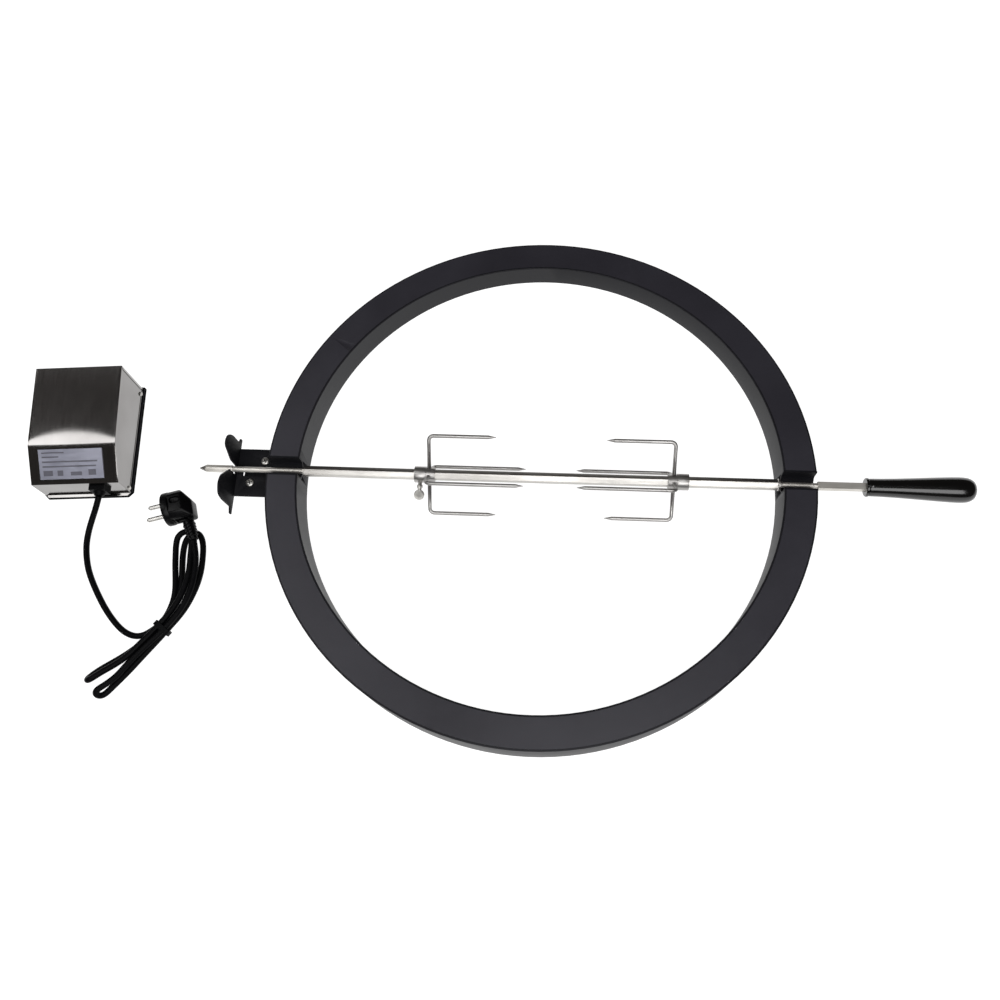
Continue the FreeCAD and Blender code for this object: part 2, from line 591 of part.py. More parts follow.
# ---------------------------------------------------------------- lead, hank and plug
nose_end = MOTOR_TURN.multVec(Vector(20.5, -dim("cover_front") - 9, 20.5))
start = Vector(dim("motor_at_x") + nose_end.x, dim("motor_at_y") + nose_end.y, nose_end.z)
low = dim("lead_radius") + 0.1
aim = MOTOR_TURN.multVec(Vector(0, -1, 0))
lead_route = [
    start,
    start + aim * 13 + Vector(-3.5, 0, -4.5),
    Vector(-474.3, -63, low + 5.0),
    Vector(-475.6, -83, low + 1.1),
    Vector(-467.5, -106, low),
    Vector(-454, -130, low),
    Vector(-438, -152, low),
    Vector(-421, -169.5, low + 0.2),
    Vector(-407.5, -175.5, low + 0.6),
    Vector(-393, -176.6, low + 0.9),
    Vector(-381.5, -174.6, low + 0.9),
]


def rounded_path(points):
    """Straight runs joined by tangent arcs, each as large as its two runs allow."""
    edges = []
    radii = []
    last = points[0]
    for before, here, after in zip(points, points[1:], points[2:]):
        back = (before - here).normalize()
        ahead = (after - here).normalize()
        half_turn = (math.pi - back.getAngle(ahead)) / 2
        reach = 0.45 * min((before - here).Length, (after - here).Length)
        radius = reach / math.tan(half_turn)
        radii.append(radius)
        first = here + back * reach
        final = here + ahead * reach
        middle = here + (back + ahead).normalize() * (radius / math.cos(half_turn) - radius)
        edges.append(Part.LineSegment(last, first).toShape())
        edges.append(Part.Arc(first, middle, final).toShape())
        last = final
    edges.append(Part.LineSegment(last, points[-1]).toShape())
    return Part.Wire(edges), radii


path, radii = rounded_path(lead_route)
section = Part.Wire([Part.Circle(lead_route[0], lead_route[1] - lead_route[0], dim("lead_radius")).toShape()])
lead_solid = path.makePipeShell([section], True, False)
lead = doc.addObject("Part::Feature", "lead")
lead.Shape = lead_solid
lead.Placement = Placement()
node("cord", lead)
print("cord radii mm:", " ".join("%.1f" % r for r in radii))
print("cord volume / (section x length): %.4f" % (
    lead_solid.Volume / (math.pi * dim("lead_radius") ** 2 * path.Length)))
print("cord tube length mm: %.1f" % path.Length)

hank_body = doc.addObject("PartDesign::Body", "hank_body")
hank_sketch = polygon(hank_body, "hank_outline", "XY_Plane", [
    (-351.0, -73.0), (-344.9, -88.0), (-343.5, -104.5), (-345.9, -124.5), (-353.2, -144.0), (-364.8, -163.0),
    (-378.8, -182.0), (-398.4, -204.5), (-415.0, -226.5), (-427.0, -241.0), (-434.5, -241.5), (-437.0, -235.0),
    (-426.0, -219.0), (-444.0, -230.0), (-451.0, -228.0), (-451.5, -219.5), (-437.0, -205.0), (-415.5, -188.5),
    (-393.0, -170.5), (-384.0, -157.0), (-377.5, -144.5), (-375.6, -124.6), (-378.0, -103.0), (-379.0, -84.0),
    (-376.0, -71.5), (-368.0, -68.0), (-361.0, -74.0)])
pad(hank_body, "hank_pad", hank_sketch, "hank_height")
node("cord_hank", group("cord_hank", hank_body))

tie_turn = Rotation(Vector(0, 0, 1), -35)
tie_outer = solid("Box", "tie_outer", (-11.5, -3.0, 0), Length=23.0, Width=6.0, Height="hank_height + 1.2")
tie_tail = solid("Box", "tie_tail", (-15.0, -1.5, 4.0), Length=4.0, Width=3.0, Height=5.0)
tie_ring = place(join("tie_ring", tie_outer, tie_tail), (-377.0, -167.0, 0.1), tie_turn)
node("hank_tie", boolean("Cut", "hank_tie", tie_ring, hank_body))

PLUG_TURN = Rotation(Vector(0, 0, 1), 197.0)
plug_place = Placement(Vector(-389.5, -48.0, dim("plug_height")), PLUG_TURN)


def on_plug(label, thing):
    thing.Placement = plug_place
    thing.setExpression("Placement.Base.z", full("plug_height"))
    return node(label, thing)


# the plug's own +X points out along its pins
ROLL = Rotation(Vector(1, 0, 0), 28)
front_disc = solid("Cylinder", "plug_front", (-9, 0, 0), ALONG_X, Radius=17.8, Height=9.0)
mid_barrel = solid("Cylinder", "plug_middle", (-19, 0, 0), ALONG_X, Radius=16.4, Height=10.0)
back_cone = solid("Cone", "plug_back", (-31, 0, 0), ALONG_X, Radius1=9.5, Radius2=16.4, Height=12.0)
neck_turn = Rotation(Vector(0, 0, 1), 99).multiply(Rotation(Vector(0, 1, 0), 90))
neck_from = Vector(-17.7, 2.8, -7.0)
plug_neck = solid("Cone", "plug_neck", tuple(neck_from), neck_turn, Radius1=8.0, Radius2=6.5, Height=14.0)
shell = join("plug_shell", front_disc, mid_barrel, back_cone, plug_neck)
pin_spots = [ROLL.multVec(Vector(0, side * 9.5, 0)) for side in (-1, 1)]
pin_holes = join("pin_holes", *[
    solid("Cylinder", "pin_hole_%d" % i, (-8, p.y, p.z), ALONG_X, Radius=2.4, Height=10.0)
    for i, p in enumerate(pin_spots)])
on_plug("plug_body", boolean("Cut", "plug_body", shell, pin_holes))
pins = []
for i, p in enumerate(pin_spots):
    stem = solid("Cylinder", "pin_stem_%d" % i, (-8, p.y, p.z), ALONG_X, Radius=2.4, Height=25.0)
    tip = solid("Cone", "pin_tip_%d" % i, (17, p.y, p.z), ALONG_X, Radius1=2.4, Radius2=1.4, Height=1.6)
    pins.append(join("pin_%d" % i, stem, tip))
on_plug("plug_pins", group("plug_pins", *pins))
relief_from = neck_from + neck_turn.multVec(Vector(0, 0, 14))
relief = solid("Cone", "relief_cone", tuple(relief_from), neck_turn, Radius1=6.0, Radius2=4.2, Height=21.0)
on_plug("plug_strain_relief", group("plug_strain_relief", relief))

# ---------------------------------------------------------------- check and write
doc.recompute()
for thing in doc.Objects:
    if "Invalid" in thing.State or "Error" in thing.State:
        raise RuntimeError("%s did not build: %s" % (thing.Name, thing.State))
os.makedirs("parts", exist_ok=True)
for thing in nodes:
    shape = thing.Shape
    if shape.isNull() or not shape.isValid():
        raise RuntimeError(thing.Label + " has no valid shape")
    box = shape.BoundBox
    print("%-24s solids %d volume %.0f box %.1f %.1f %.1f to %.1f %.1f %.1f" % (
        thing.Label, len(shape.Solids), shape.Volume,
        box.XMin, box.YMin, box.ZMin, box.XMax, box.YMax, box.ZMax))
    shape.exportStep("parts/%s.step" % thing.Label)
print(len(nodes), "nodes")
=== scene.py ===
import math

import bpy
from mathutils import Matrix, Vector


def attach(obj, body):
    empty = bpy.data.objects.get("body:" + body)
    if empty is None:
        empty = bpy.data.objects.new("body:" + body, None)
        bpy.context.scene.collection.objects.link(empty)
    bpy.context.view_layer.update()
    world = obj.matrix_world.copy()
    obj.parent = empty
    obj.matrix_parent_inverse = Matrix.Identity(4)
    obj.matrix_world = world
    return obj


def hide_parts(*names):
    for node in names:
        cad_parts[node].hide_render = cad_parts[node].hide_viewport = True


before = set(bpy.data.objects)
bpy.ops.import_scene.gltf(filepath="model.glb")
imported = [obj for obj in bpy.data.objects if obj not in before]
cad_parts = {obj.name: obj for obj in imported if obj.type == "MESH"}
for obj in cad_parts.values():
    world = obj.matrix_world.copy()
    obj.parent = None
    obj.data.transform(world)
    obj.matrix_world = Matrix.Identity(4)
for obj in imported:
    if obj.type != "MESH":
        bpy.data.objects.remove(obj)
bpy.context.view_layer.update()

print("frame loaded:", len(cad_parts), "nodes")

# camera, above the front of the ring and a little right of its middle
cameraSetup = {
    "place": (0.02611, -0.35461, 0.95394),
    "turnDegrees": (19.5365, 2.9131, 2.8870),
    "lens": 34.555,
}


def placeCamera(setup):
    data = bpy.data.cameras.new("viewCamera")
    data.lens = setup["lens"]
    data.sensor_width = 36.0
    data.clip_start = 0.02
    data.clip_end = 30.0
    camera = bpy.data.objects.new("viewCamera", data)
    bpy.context.collection.objects.link(camera)
    camera.location = setup["place"]
    camera.rotation_euler = [math.radians(angle) for angle in setup["turnDegrees"]]
    bpy.context.scene.camera = camera


placeCamera(cameraSetup)


def deselectAll():
    if bpy.context.object and bpy.context.object.mode != "OBJECT":
        bpy.ops.object.mode_set(mode="OBJECT")
    bpy.ops.object.select_all(action="DESELECT")


def makeActive(piece):
    deselectAll()
    piece.select_set(True)
    bpy.context.view_layer.objects.active = piece


def applyPlace(piece):
    makeActive(piece)
    bpy.ops.object.transform_apply(location=True, rotation=True, scale=True)


def smoothPiece(piece, degrees=35):
    makeActive(piece)
    bpy.ops.object.shade_smooth_by_angle(angle=math.radians(degrees))


def tidyNormals(piece):
    makeActive(piece)
    bpy.ops.object.mode_set(mode="EDIT")
    bpy.ops.mesh.select_all(action="SELECT")
    bpy.ops.mesh.remove_doubles(threshold=0.000002)
    bpy.ops.mesh.normals_make_consistent(inside=False)
    bpy.ops.object.mode_set(mode="OBJECT")


def bevelPiece(piece, width, segments=2, degrees=30):
    makeActive(piece)
    bevel = piece.modifiers.new("edge", "BEVEL")
    bevel.width = width
    bevel.segments = segments
    bevel.limit_method = "ANGLE"
    bevel.angle_limit = math.radians(degrees)
    bpy.ops.object.modifier_apply(modifier=bevel.name)


def pickEdges(piece, test):
    # test is given the two ends of an edge
    makeActive(piece)
    bpy.ops.object.mode_set(mode="EDIT")
    bpy.ops.mesh.select_mode(type="EDGE")
    bpy.ops.mesh.select_all(action="DESELECT")
    bpy.ops.object.mode_set(mode="OBJECT")
    mesh = piece.data
    count = 0
    for edge in mesh.edges:
        first, second = (mesh.vertices[i].co for i in edge.vertices)
        edge.select = bool(test(first, second))
        count += edge.select
    bpy.ops.object.mode_set(mode="EDIT")
    return count


def bevelEdges(piece, test, width, segments=3):
    if pickEdges(piece, test):
        bpy.ops.mesh.bevel(offset=width, segments=segments, affect="EDGES", clamp_overlap=True)
    bpy.ops.object.mode_set(mode="OBJECT")


def cutWith(piece, cutter):
    makeActive(piece)
    cut = piece.modifiers.new("cut", "BOOLEAN")
    cut.operation = "DIFFERENCE"
    cut.solver = "EXACT"
    cut.object = cutter
    bpy.ops.object.modifier_apply(modifier=cut.name)
    bpy.data.objects.remove(cutter, do_unlink=True)


def joinPieces(name, parts):
    deselectAll()
    for part in parts:
        part.select_set(True)
    bpy.context.view_layer.objects.active = parts[0]
    bpy.ops.object.join()
    parts[0].name = name
    parts[0].data.name = name
    return parts[0]


def copyNode(node, name, dissolve=True):
    # a welded copy of a CAD piece; dissolve makes its flat faces whole again
    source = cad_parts[node]
    mesh = source.data.copy()
    mesh.materials.clear()
    piece = bpy.data.objects.new(name, mesh)
    bpy.context.collection.objects.link(piece)
    mesh.name = name
    makeActive(piece)
    bpy.ops.object.mode_set(mode="EDIT")
    bpy.ops.mesh.select_all(action="SELECT")
    bpy.ops.mesh.remove_doubles(threshold=0.000005)
    if dissolve:
        bpy.ops.mesh.dissolve_limited(angle_limit=math.radians(0.6))
    bpy.ops.object.mode_set(mode="OBJECT")
    return piece


def roundBar(name, place, toward, stations, vertices=64):
    # a turned shape: stations are (distance along the axis, radius)
    deselectAll()
    first = stations[0]
    bpy.ops.mesh.primitive_circle_add(vertices=vertices, radius=first[1], fill_type="NGON",
                                      location=(0, 0, 0))
    piece = bpy.context.object
    piece.name = name
    piece.data.name = name
    bpy.ops.object.mode_set(mode="EDIT")
    bpy.ops.mesh.select_all(action="SELECT")
    bpy.ops.transform.translate(value=(0, 0, first[0]))
    last = first
    for station in stations[1:]:
        step = station[0] - last[0]
        bpy.ops.mesh.extrude_region_move(TRANSFORM_OT_translate={"value": (0, 0, step)})
        ratio = station[1] / last[1]
        bpy.ops.transform.resize(value=(ratio, ratio, 1), center_override=(0, 0, station[0]))
        last = station
    bpy.ops.object.mode_set(mode="OBJECT")
    direction = Vector(toward).normalized()
    piece.rotation_mode = "QUATERNION"
    piece.rotation_quaternion = Vector((0, 0, 1)).rotation_difference(direction)
    piece.location = place
    applyPlace(piece)
    tidyNormals(piece)
    return piece


def block(name, low, high, bevel=0.0, segments=2):
    deselectAll()
    middle = [(a + b) / 2 for a, b in zip(low, high)]
    bpy.ops.mesh.primitive_cube_add(size=1.0, location=middle)
    piece = bpy.context.object
    piece.name = name
    piece.data.name = name
    piece.scale = [b - a for a, b in zip(low, high)]
    applyPlace(piece)
    if bevel:
        bevelPiece(piece, bevel, segments)
    return piece


def moveBy(piece, matrix):
    # moves a piece and leaves its object at the origin
    piece.matrix_world = matrix
    applyPlace(piece)


def startMaterial(name):
    material = bpy.data.materials.new(name)
    material.use_nodes = True
    tree = material.node_tree
    shader = tree.nodes["Principled BSDF"]
    coordinates = tree.nodes.new("ShaderNodeTexCoord")
    return material, tree, shader, coordinates


def stretched(tree, coordinates, scale, turn=(0, 0, 0)):
    mapping = tree.nodes.new("ShaderNodeMapping")
    mapping.inputs["Scale"].default_value = scale
    mapping.inputs["Rotation"].default_value = turn
    tree.links.new(coordinates.outputs["Object"], mapping.inputs["Vector"])
    return mapping


def noise(tree, vector, scale, detail=3.0, roughness=0.5):
    node = tree.nodes.new("ShaderNodeTexNoise")
    node.inputs["Scale"].default_value = scale
    node.inputs["Detail"].default_value = detail
    node.inputs["Roughness"].default_value = roughness
    tree.links.new(vector, node.inputs["Vector"])
    return node


def spread(tree, value, low, high):
    node = tree.nodes.new("ShaderNodeMapRange")
    node.inputs["From Min"].default_value = 0.3
    node.inputs["From Max"].default_value = 0.7
    node.inputs["To Min"].default_value = low
    node.inputs["To Max"].default_value = high
    tree.links.new(value, node.inputs["Value"])
    return node


def tint(tree, value, dark, light):
    ramp = tree.nodes.new("ShaderNodeValToRGB")
    ramp.color_ramp.elements[0].position = 0.35
    ramp.color_ramp.elements[1].position = 0.65
    ramp.color_ramp.elements[0].color = (*dark, 1)
    ramp.color_ramp.elements[1].color = (*light, 1)
    tree.links.new(value, ramp.inputs["Fac"])
    return ramp


def bump(tree, shader, height, strength, distance):
    node = tree.nodes.new("ShaderNodeBump")
    node.inputs["Strength"].default_value = strength
    node.inputs["Distance"].default_value = distance
    tree.links.new(height, node.inputs["Height"])
    tree.links.new(node.outputs["Normal"], shader.inputs["Normal"])


def coatMaterial(name, look):
    # sprayed or moulded surface: soft mottling in colour, an orange-peel bump
    material, tree, shader, coordinates = startMaterial(name)
    place = coordinates.outputs["Object"]
    broad = noise(tree, place, look["broadScale"], 4)
    fine = noise(tree, place, look["fineScale"], 2)
    colour = tint(tree, broad.outputs["Fac"], look["dark"], look["light"])
    tree.links.new(colour.outputs["Color"], shader.inputs["Base Color"])
    rough = spread(tree, broad.outputs["Fac"], look["roughLow"], look["roughHigh"])
    tree.links.new(rough.outputs["Result"], shader.inputs["Roughness"])
    bump(tree, shader, fine.outputs["Fac"], look["bump"], look["bumpDepth"])
    shader.inputs["Specular IOR Level"].default_value = look.get("specular", 0.5)
    shader.inputs["Coat Weight"].default_value = look.get("coat", 0.0)
    shader.inputs["Coat Roughness"].default_value = look.get("coatRoughness", 0.1)
    return material


def metalMaterial(name, look):
    # drawn or brushed metal: long fine streaks in roughness and bump
    material, tree, shader, coordinates = startMaterial(name)
    shader.inputs["Metallic"].default_value = 1.0
    mapping = stretched(tree, coordinates, look["grain"], look.get("turn", (0, 0, 0)))
    streaks = noise(tree, mapping.outputs["Vector"], look["streakScale"], 3)
    broad = noise(tree, coordinates.outputs["Object"], look["broadScale"], 3)
    colour = tint(tree, broad.outputs["Fac"], look["dark"], look["light"])
    tree.links.new(colour.outputs["Color"], shader.inputs["Base Color"])
    rough = spread(tree, streaks.outputs["Fac"], look["roughLow"], look["roughHigh"])
    tree.links.new(rough.outputs["Result"], shader.inputs["Roughness"])
    bump(tree, shader, streaks.outputs["Fac"], look["bump"], look["bumpDepth"])
    return material


blackCoatLook = {
    "broadScale": 9.0, "fineScale": 1400.0,
    "dark": (0.022, 0.021, 0.028), "light": (0.029, 0.028, 0.037),
    "roughLow": 0.34, "roughHigh": 0.44, "bump": 0.14, "bumpDepth": 0.0003, "specular": 0.5,
}
# painted shade: a darker copy of the black coat for the ring's band walls, which look darker than the
# top plates only because of how light falls
shadedWallLook = {**blackCoatLook, "dark": (0.008, 0.008, 0.010), "light": (0.012, 0.012, 0.015),
                 "roughLow": 0.40, "roughHigh": 0.50, "specular": 0.16}
# the bracket's own black, also used as painted shade in the ring's notches and in the screws' cross
# recesses
bracketAndShadeLook = {**blackCoatLook, "dark": (0.006, 0.006, 0.008), "light": (0.009, 0.009, 0.011),
               "roughLow": 0.46, "roughHigh": 0.56, "specular": 0.10}
handleLook = {
    "broadScale": 30.0, "fineScale": 900.0,
    "dark": (0.0014, 0.0014, 0.0014), "light": (0.0024, 0.0024, 0.0024),
    "roughLow": 0.16, "roughHigh": 0.20, "bump": 0.01, "bumpDepth": 0.0001, "coat": 0.3,
}
rubberLook = {
    "broadScale": 40.0, "fineScale": 1500.0,
    "dark": (0.0012, 0.0012, 0.0016), "light": (0.0024, 0.0024, 0.0030),
    "roughLow": 0.40, "roughHigh": 0.52, "bump": 0.06, "bumpDepth": 0.0002, "specular": 0.05,
}
plugLook = {**rubberLook, "roughLow": 0.26, "roughHigh": 0.38, "specular": 0.12}
gasketLook = {**rubberLook, "roughLow": 0.6, "roughHigh": 0.75}
gearLook = {**rubberLook, "dark": (0.72, 0.71, 0.66), "light": (0.80, 0.79, 0.74)}
terminalLook = {**gearLook, "dark": (0.70, 0.70, 0.66), "light": (0.78, 0.78, 0.74)}
spitLook = {
    "grain": (0.05, 1, 1), "streakScale": 900.0, "broadScale": 18.0,
    "dark": (0.42, 0.405, 0.385), "light": (0.52, 0.505, 0.48),
    "roughLow": 0.30, "roughHigh": 0.42, "bump": 0.10, "bumpDepth": 0.0002,
}
frostLook = {**spitLook, "dark": (0.62, 0.60, 0.56), "light": (0.76, 0.74, 0.70),
             "roughLow": 0.46, "roughHigh": 0.58}
forkLook = {**spitLook, "dark": (0.36, 0.35, 0.34), "light": (0.44, 0.43, 0.42),
            "roughLow": 0.34, "roughHigh": 0.46}
screwLook = {
    "grain": (1, 1, 1), "streakScale": 300.0, "broadScale": 60.0,
    "dark": (0.48, 0.47, 0.45), "light": (0.58, 0.57, 0.54),
    "roughLow": 0.32, "roughHigh": 0.44, "bump": 0.05, "bumpDepth": 0.0001,
}
coverLook = {
    "grain": (1, 0.03, 0.03), "streakScale": 1100.0, "broadScale": 14.0,
    "dark": (0.225, 0.217, 0.212), "light": (0.275, 0.267, 0.262),
    "roughLow": 0.10, "roughHigh": 0.15, "bump": 0.06, "bumpDepth": 0.0002,
    "turn": (0, 0, -0.07),
}
innerLook = {**screwLook, "roughLow": 0.25, "roughHigh": 0.4}
brassLook = {**screwLook, "dark": (0.55, 0.38, 0.15), "light": (0.66, 0.47, 0.20)}
ratingLook = {
    "grain": (0.2, 1, 1), "streakScale": 400.0, "broadScale": 30.0,
    "dark": (0.40, 0.41, 0.50), "light": (0.46, 0.47, 0.56),
    "roughLow": 0.35, "roughHigh": 0.45, "bump": 0.05, "bumpDepth": 0.0001,
}
inkLook = {**blackCoatLook, "dark": (0.10, 0.10, 0.12), "light": (0.14, 0.14, 0.17), "specular": 0.2}

blackCoat = coatMaterial("blackCoat", blackCoatLook)
shadedWallCoat = coatMaterial("shadedWallCoat", shadedWallLook)
bracketCoatAndShade = coatMaterial("bracketCoatAndShade", bracketAndShadeLook)
handleGloss = coatMaterial("handleGloss", handleLook)
cordRubber = coatMaterial("cordRubber", rubberLook)
plugPlastic = coatMaterial("plugPlastic", plugLook)
gasketRubber = coatMaterial("gasketRubber", gasketLook)
gearPlastic = coatMaterial("gearPlastic", gearLook)
terminalPlastic = coatMaterial("terminalPlastic", terminalLook)
spitSteel = metalMaterial("spitSteel", spitLook)
frostSteel = metalMaterial("frostSteel", frostLook)
forkSteel = metalMaterial("forkSteel", forkLook)
brightScrew = metalMaterial("brightScrew", screwLook)
coverSteel = metalMaterial("coverSteel", coverLook)
innerSteel = metalMaterial("innerSteel", innerLook)
brassTurned = metalMaterial("brassTurned", brassLook)
ratingSilver = metalMaterial("ratingSilver", ratingLook)
ratingInk = coatMaterial("ratingInk", inkLook)
print("materials ready")


def finishPiece(piece, material, body, nodes, degrees=35):
    # gives a piece its finish, smooths it, ties it to its body and hides the CAD pieces it stands for
    piece.data.materials.clear()
    piece.data.materials.append(material)
    smoothPiece(piece, degrees)
    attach(piece, body)
    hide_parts(*nodes)


# mains lead, in millimetres: one line from the grommet through the tied hank to the plug
cordSetup = {
    "diameter": 0.0064,
    # in from the left, on to the tie
    "lead": [
        (-463.3, -35.4, 20.5), (-466.5, -46.0, 15.5), (-471.5, -56.5, 9.0), (-475.0, -68.5, 4.8),
        (-475.5, -82.5, 3.4), (-473.0, -95.5, 3.3), (-468.5, -109.5, 3.3), (-461.5, -123.0, 3.3),
        (-452.5, -137.0, 3.3), (-442.5, -151.0, 3.3), (-431.0, -164.0, 3.3), (-419.0, -174.5, 3.3),
        (-407.0, -179.5, 3.3), (-397.0, -178.5, 3.3), (-388.5, -173.0, 3.3),
    ],
    # up the left side, over the top, down to the upper finger
    "first": [
        (-381.5, -166.5, 3.3), (-376.5, -159.0, 3.3), (-373.0, -149.5, 3.3), (-371.0, -139.5, 3.3),
        (-371.0, -129.5, 3.3), (-373.0, -116.5, 3.3), (-375.5, -103.5, 3.3), (-377.0, -92.0, 3.5),
        (-378.0, -81.5, 4.5), (-377.0, -72.0, 6.0), (-369.5, -66.5, 7.5), (-361.5, -70.0, 8.5),
        (-359.5, -80.0, 9.0), (-358.5, -96.5, 9.0), (-357.5, -108.0, 9.0), (-358.0, -119.0, 9.0),
        (-360.0, -129.5, 9.0), (-363.5, -141.0, 9.0), (-368.5, -151.0, 9.0), (-375.0, -161.5, 9.0),
        (-382.0, -170.5, 9.0), (-388.5, -179.0, 9.0), (-395.5, -187.0, 8.7), (-407.0, -201.0, 8.7),
        (-419.0, -210.5, 9.0), (-429.5, -218.0, 10.8), (-440.0, -226.7, 12.5),
    ],
    # back up inside, round under the sleeve, down the right side to the lower finger
    "second": [
        (-444.4, -226.2, 7.9), (-443.7, -221.9, 3.3), (-435.0, -214.7, 3.3), (-424.0, -207.5, 3.3),
        (-411.5, -199.0, 3.3), (-399.0, -188.5, 3.3), (-389.5, -178.0, 3.3), (-380.5, -170.0, 3.3),
        (-373.5, -160.5, 3.3), (-369.0, -150.0, 3.3), (-366.5, -139.5, 3.3), (-365.5, -129.0, 3.3),
        (-366.0, -118.0, 3.3), (-367.5, -106.5, 3.3), (-369.0, -95.0, 3.3), (-369.5, -84.5, 3.3),
        (-368.5, -75.0, 3.3), (-363.5, -67.5, 3.3), (-356.5, -67.0, 3.3), (-351.0, -74.0, 3.3),
        (-348.5, -84.0, 3.3), (-347.5, -95.0, 3.3), (-347.0, -107.5, 3.3), (-348.5, -121.0, 3.3),
        (-352.0, -134.0, 3.3), (-357.0, -147.0, 3.3), (-363.0, -157.5, 3.3), (-369.5, -166.5, 3.3),
        (-379.0, -180.0, 3.3), (-393.0, -198.5, 3.3), (-405.5, -215.5, 3.3), (-418.0, -230.5, 3.3),
        (-426.5, -240.5, 3.3),
    ],
    # back over the rest to the plug
    "third": [
        (-431.4, -241.0, 8.0), (-431.4, -236.8, 12.4), (-421.3, -229.2, 11.2), (-413.2, -220.8, 9.6),
        (-405.8, -209.6, 9.2), (-396.0, -197.0, 9.0), (-386.0, -185.5, 9.0), (-375.5, -173.5, 9.0),
        (-367.0, -162.0, 9.0), (-359.5, -150.0, 9.2), (-354.5, -137.0, 9.4), (-351.8, -124.5, 9.6),
        (-351.0, -111.0, 9.8), (-351.8, -98.0, 10.0), (-354.5, -86.0, 10.8), (-356.9, -77.6, 11.5),
    ],
}


def layCord(setup):
    route = setup["lead"] + setup["first"] + setup["second"] + setup["third"]
    points = [Vector(place) / 1000 for place in route]
    curve = bpy.data.curves.new("mainsLead", "CURVE")
    curve.dimensions = "3D"
    spline = curve.splines.new("NURBS")
    spline.points.add(len(points) - 1)
    for knot, point in zip(spline.points, points):
        knot.co = (*point, 1)
    spline.order_u = 3
    spline.use_endpoint_u = True
    spline.resolution_u = 8
    curve.bevel_depth = setup["diameter"] / 2
    curve.bevel_resolution = 5
    curve.use_fill_caps = True
    piece = bpy.data.objects.new("mainsLead", curve)
    bpy.context.collection.objects.link(piece)
    return piece


mainsLead = layCord(cordSetup)
mainsLead.data.materials.append(cordRubber)
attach(mainsLead, "motor_box")
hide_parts("cord", "cord_hank")
print("lead laid")

ringSetup = {
    "slopeDegrees": 3.394,
    "middleHeight": 0.0431,
    "outerRim": 0.2795,
    "innerRim": 0.2475,
    "nearTop": 0.0003,
    "topEdge": 0.0014,
    "innerEdge": 0.0010,
    "seatEdge": 0.0006,
    "plateShade": 3,
}


def onRingTop(setup, point):
    top = setup["middleHeight"] - math.tan(math.radians(setup["slopeDegrees"])) * point.y
    return abs(point.z - top) < setup["nearTop"]


def makeRing(setup):
    # both band walls take the darker copy of the black coat as painted shade
    outer = copyNode("outer_band", "outerBand")
    bevelEdges(outer, lambda a, b: min(a.xy.length, b.xy.length) > setup["outerRim"]
               and onRingTop(setup, a) and onRingTop(setup, b), setup["topEdge"], 4)
    finishPiece(outer, shadedWallCoat, "ring", ["outer_band"])
    inner = copyNode("inner_band", "innerBand")
    bevelEdges(inner, lambda a, b: max(a.xy.length, b.xy.length) < setup["innerRim"]
               and onRingTop(setup, a) and onRingTop(setup, b), setup["innerEdge"], 3)
    finishPiece(inner, shadedWallCoat, "ring", ["inner_band"])
    for node, name in (("top_plate_rear", "topPlateRear"), ("top_plate_front", "topPlateFront")):
        plate = copyNode(node, name, False)
        finishPiece(plate, blackCoat, "ring", [node], setup["plateShade"])
    # painted shade: the notch seats take the darker bracket coat so the notches read as shadow
    for node, name in (("notch_seat_left", "notchSeatLeft"), ("notch_seat_right", "notchSeatRight")):
        seat = copyNode(node, name)
        bevelEdges(seat, lambda a, b: max(abs(a.x), abs(b.x)) < setup["innerRim"], setup["seatEdge"], 2)
        finishPiece(seat, bracketCoatAndShade, "ring", [node])


makeRing(ringSetup)
print("ring made")

bracketSetup = {
    "hornCorner": 0.004,
    "hornFoot": 0.046,
    "shortestEdge": 0.0018,
    "sheetEdge": 0.0003,
    "lugEdge": 0.0004,
}


def makeBracket(setup):
    piece = copyNode("motor_bracket", "motorBracket")
    # the horns' upper corners, which run through the sheet
    bevelEdges(piece, lambda a, b: (a - b).length > setup["shortestEdge"] and a.z > setup["hornFoot"]
               and abs(a.y - b.y) < 1e-5 and abs(a.z - b.z) < 1e-5, setup["hornCorner"], 4)
    bevelPiece(piece, setup["sheetEdge"], 2, 50)
    finishPiece(piece, bracketCoatAndShade, "ring", ["motor_bracket"])
    lug = copyNode("bracket_lug", "bracketLug")
    bevelPiece(lug, setup["lugEdge"], 2, 50)
    finishPiece(lug, bracketCoatAndShade, "ring", ["bracket_lug"])


makeBracket(bracketSetup)

screwSetup = {
    "places": [(-0.2898, 0.0096), (-0.3032, -0.0150)],
    "seat": 0.020,
    "profile": [(0, 0.0043), (0.0008, 0.0044), (0.0014, 0.0041), (0.0019, 0.0033),
                (0.0022, 0.0018), (0.0023, 0.0006)],
    "shankFoot": 0.011,
    "shankProfile": [(0, 0.0016), (0.0005, 0.0021), (0.009, 0.0021)],
    "crossWidth": 0.0011,
    "crossLength": 0.0048,
    "crossFloor": 0.0009,
    "crossTop": 0.004,
    "crossTurns": (20, 110),
    "darkReach": 0.0026,
    "darkLow": 0.0005,
    "darkFloor": 0.0012,
    "darkHigh": 0.0021,
}


